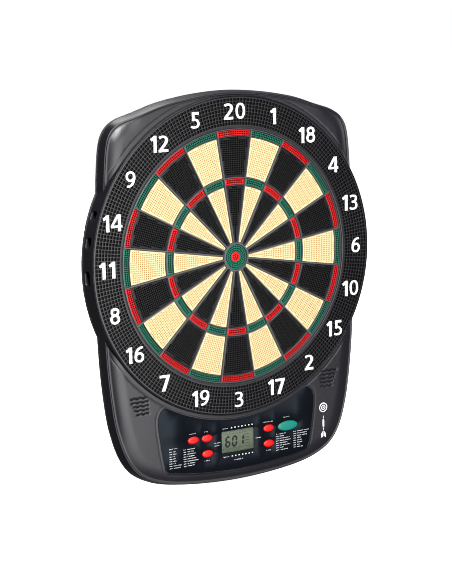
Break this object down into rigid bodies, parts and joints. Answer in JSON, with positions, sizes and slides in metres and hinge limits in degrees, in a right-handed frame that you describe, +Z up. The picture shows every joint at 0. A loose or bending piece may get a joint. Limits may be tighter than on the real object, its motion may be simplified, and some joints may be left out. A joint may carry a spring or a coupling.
{
  "type": "electronic dartboard",
  "caption": "Wall-hung electronic dartboard for soft-tip darts: round sprung target in a moulded housing, with display and push buttons below.",
  "frame": {"origin": "on the bull's axis, at the rear face that lies against the wall", "axes": "+Z up, front of the target faces -Y, +X to the right seen from the front"},
  "size_m": [0.443, 0.0272, 0.5394],
  "materials": {
    "segment_black": "moulded, fine satin",
    "segment_cream": "moulded, fine satin",
    "segment_red": "moulded, satin gloss",
    "segment_green": "moulded, satin gloss",
    "housing_plastic": "fine spark-eroded grain",
    "rear_plastic": "fine grain",
    "ring_plastic": "satin mesh",
    "numeral_white": "smooth",
    "spider_plastic": "satin",
    "membrane_film": "polyester film",
    "foam": "closed-cell foam",
    "hardboard": "pressed board",
    "panel_film": "printed polycarbonate film",
    "window": "clear",
    "display": "liquid-crystal glass, grey-green",
    "silicone": "soft",
    "circuit_board": "solder mask",
    "speaker_black": "paper cone and frame",
    "ribbon": "flat tail",
    "wire_red": "PVC insulation",
    "spring_steel": "nickel plated",
    "button_teal": "smooth, domed",
    "button_red": "smooth, domed",
    "cell_jacket": "plain printed sleeve",
    "screw_steel": "zinc plated"
  },
  "bodies": {
    "root": {"backing_plate": "hardboard", "battery_1": "cell_jacket", "battery_2": "cell_jacket", "battery_3": "cell_jacket", "battery_contacts_lower": "spring_steel", "battery_contacts_upper": "spring_steel", "battery_lead": "wire_red", "contact_membrane": "membrane_film", "control_film": "panel_film", "display_module": "display", "display_window": "window", "foam_mat": "foam", "front_housing": "housing_plastic", "keypad_mat": "silicone", "main_board": "circuit_board", "number_ring": "ring_plastic", "rear_cover": "rear_plastic", "ribbon_cable": "ribbon", "screw_1": "screw_steel", "screw_2": "screw_steel", "screw_3": "screw_steel", "screw_4": "screw_steel", "screw_5": "screw_steel", "screw_6": "screw_steel", "screw_7": "screw_steel", "screw_8": "screw_steel", "speaker": "speaker_black", "speaker_lead": "wire_red", "spider": "spider_plastic"},
    "segments_01": {"segments_01": "segment_cream"},
    "segments_02": {"segments_02": "segment_black"},
    "segments_03": {"segments_03": "segment_black"},
    "segments_04": {"segments_04": "segment_cream"},
    "segments_05": {"segments_05": "segment_cream"},
    "segments_06": {"segments_06": "segment_cream"},
    "segments_07": {"segments_07": "segment_black"},
    "segments_08": {"segments_08": "segment_black"},
    "segments_09": {"segments_09": "segment_cream"},
    "segments_10": {"segments_10": "segment_black"},
    "segments_11": {"segments_11": "segment_cream"},
    "segments_12": {"segments_12": "segment_black"},
    "segments_13": {"segments_13": "segment_black"},
    "segments_14": {"segments_14": "segment_black"},
    "segments_15": {"segments_15": "segment_cream"},
    "segments_16": {"segments_16": "segment_cream"},
    "segments_17": {"segments_17": "segment_cream"},
    "segments_18": {"segments_18": "segment_black"},
    "segments_19": {"segments_19": "segment_cream"},
    "segments_20": {"segments_20": "segment_black"},
    "bull_outer": {"bull_outer": "segment_green"},
    "bull_inner": {"bull_inner": "segment_red"},
    "button_left_lower": {"button_left_lower": "button_red"},
    "button_left_outer": {"button_left_outer": "button_red"},
    "button_left_upper": {"button_left_upper": "button_red"},
    "button_next": {"button_next": "button_teal"},
    "button_right_lower": {"button_right_lower": "button_red"},
    "button_right_upper": {"button_right_upper": "button_red"},
    "battery_door": {"battery_door": "rear_plastic"}
  },
  "joints": [
    {"name": "segments_01_press", "type": "slide", "parent": "root", "child": "segments_01", "axis": [0, 1, 0], "range_m": [0, 0.001], "stiffness_N_per_m": 1500},
    {"name": "segments_02_press", "type": "slide", "parent": "root", "child": "segments_02", "axis": [0, 1, 0], "range_m": [0, 0.001], "stiffness_N_per_m": 1500},
    {"name": "segments_03_press", "type": "slide", "parent": "root", "child": "segments_03", "axis": [0, 1, 0], "range_m": [0, 0.001], "stiffness_N_per_m": 1500},
    {"name": "segments_04_press", "type": "slide", "parent": "root", "child": "segments_04", "axis": [0, 1, 0], "range_m": [0, 0.001], "stiffness_N_per_m": 1500},
    {"name": "segments_05_press", "type": "slide", "parent": "root", "child": "segments_05", "axis": [0, 1, 0], "range_m": [0, 0.001], "stiffness_N_per_m": 1500},
    {"name": "segments_06_press", "type": "slide", "parent": "root", "child": "segments_06", "axis": [0, 1, 0], "range_m": [0, 0.001], "stiffness_N_per_m": 1500},
    {"name": "segments_07_press", "type": "slide", "parent": "root", "child": "segments_07", "axis": [0, 1, 0], "range_m": [0, 0.001], "stiffness_N_per_m": 1500},
    {"name": "segments_08_press", "type": "slide", "parent": "root", "child": "segments_08", "axis": [0, 1, 0], "range_m": [0, 0.001], "stiffness_N_per_m": 1500},
    {"name": "segments_09_press", "type": "slide", "parent": "root", "child": "segments_09", "axis": [0, 1, 0], "range_m": [0, 0.001], "stiffness_N_per_m": 1500},
    {"name": "segments_10_press", "type": "slide", "parent": "root", "child": "segments_10", "axis": [0, 1, 0], "range_m": [0, 0.001], "stiffness_N_per_m": 1500},
    {"name": "segments_11_press", "type": "slide", "parent": "root", "child": "segments_11", "axis": [0, 1, 0], "range_m": [0, 0.001], "stiffness_N_per_m": 1500},
    {"name": "segments_12_press", "type": "slide", "parent": "root", "child": "segments_12", "axis": [0, 1, 0], "range_m": [0, 0.001], "stiffness_N_per_m": 1500},
    {"name": "segments_13_press", "type": "slide", "parent": "root", "child": "segments_13", "axis": [0, 1, 0], "range_m": [0, 0.001], "stiffness_N_per_m": 1500},
    {"name": "segments_14_press", "type": "slide", "parent": "root", "child": "segments_14", "axis": [0, 1, 0], "range_m": [0, 0.001], "stiffness_N_per_m": 1500},
    {"name": "segments_15_press", "type": "slide", "parent": "root", "child": "segments_15", "axis": [0, 1, 0], "range_m": [0, 0.001], "stiffness_N_per_m": 1500},
    {"name": "segments_16_press", "type": "slide", "parent": "root", "child": "segments_16", "axis": [0, 1, 0], "range_m": [0, 0.001], "stiffness_N_per_m": 1500},
    {"name": "segments_17_press", "type": "slide", "parent": "root", "child": "segments_17", "axis": [0, 1, 0], "range_m": [0, 0.001], "stiffness_N_per_m": 1500},
    {"name": "segments_18_press", "type": "slide", "parent": "root", "child": "segments_18", "axis": [0, 1, 0], "range_m": [0, 0.001], "stiffness_N_per_m": 1500},
    {"name": "segments_19_press", "type": "slide", "parent": "root", "child": "segments_19", "axis": [0, 1, 0], "range_m": [0, 0.001], "stiffness_N_per_m": 1500},
    {"name": "segments_20_press", "type": "slide", "parent": "root", "child": "segments_20", "axis": [0, 1, 0], "range_m": [0, 0.001], "stiffness_N_per_m": 1500},
    {"name": "bull_outer_press", "type": "slide", "parent": "root", "child": "bull_outer", "axis": [0, 1, 0], "range_m": [0, 0.001], "stiffness_N_per_m": 1500},
    {"name": "bull_inner_press", "type": "slide", "parent": "root", "child": "bull_inner", "axis": [0, 1, 0], "range_m": [0, 0.001], "stiffness_N_per_m": 1500},
    {"name": "button_left_lower_press", "type": "slide", "parent": "root", "child": "button_left_lower", "axis": [0, 1, 0], "range_m": [0, 0.0008], "stiffness_N_per_m": 800},
    {"name": "button_left_outer_press", "type": "slide", "parent": "root", "child": "button_left_outer", "axis": [0, 1, 0], "range_m": [0, 0.0008], "stiffness_N_per_m": 800},
    {"name": "button_left_upper_press", "type": "slide", "parent": "root", "child": "button_left_upper", "axis": [0, 1, 0], "range_m": [0, 0.0008], "stiffness_N_per_m": 800},
    {"name": "button_next_press", "type": "slide", "parent": "root", "child": "button_next", "axis": [0, 1, 0], "range_m": [0, 0.0008], "stiffness_N_per_m": 800},
    {"name": "button_right_lower_press", "type": "slide", "parent": "root", "child": "button_right_lower", "axis": [0, 1, 0], "range_m": [0, 0.0008], "stiffness_N_per_m": 800},
    {"name": "button_right_upper_press", "type": "slide", "parent": "root", "child": "button_right_upper", "axis": [0, 1, 0], "range_m": [0, 0.0008], "stiffness_N_per_m": 800},
    {"name": "battery_door_hinge", "type": "hinge", "parent": "root", "child": "battery_door", "pos_m": [0.12863, -0.0002, -0.25599], "axis": [-1, 0, 0], "range_deg": [0, 80]}
  ]
}
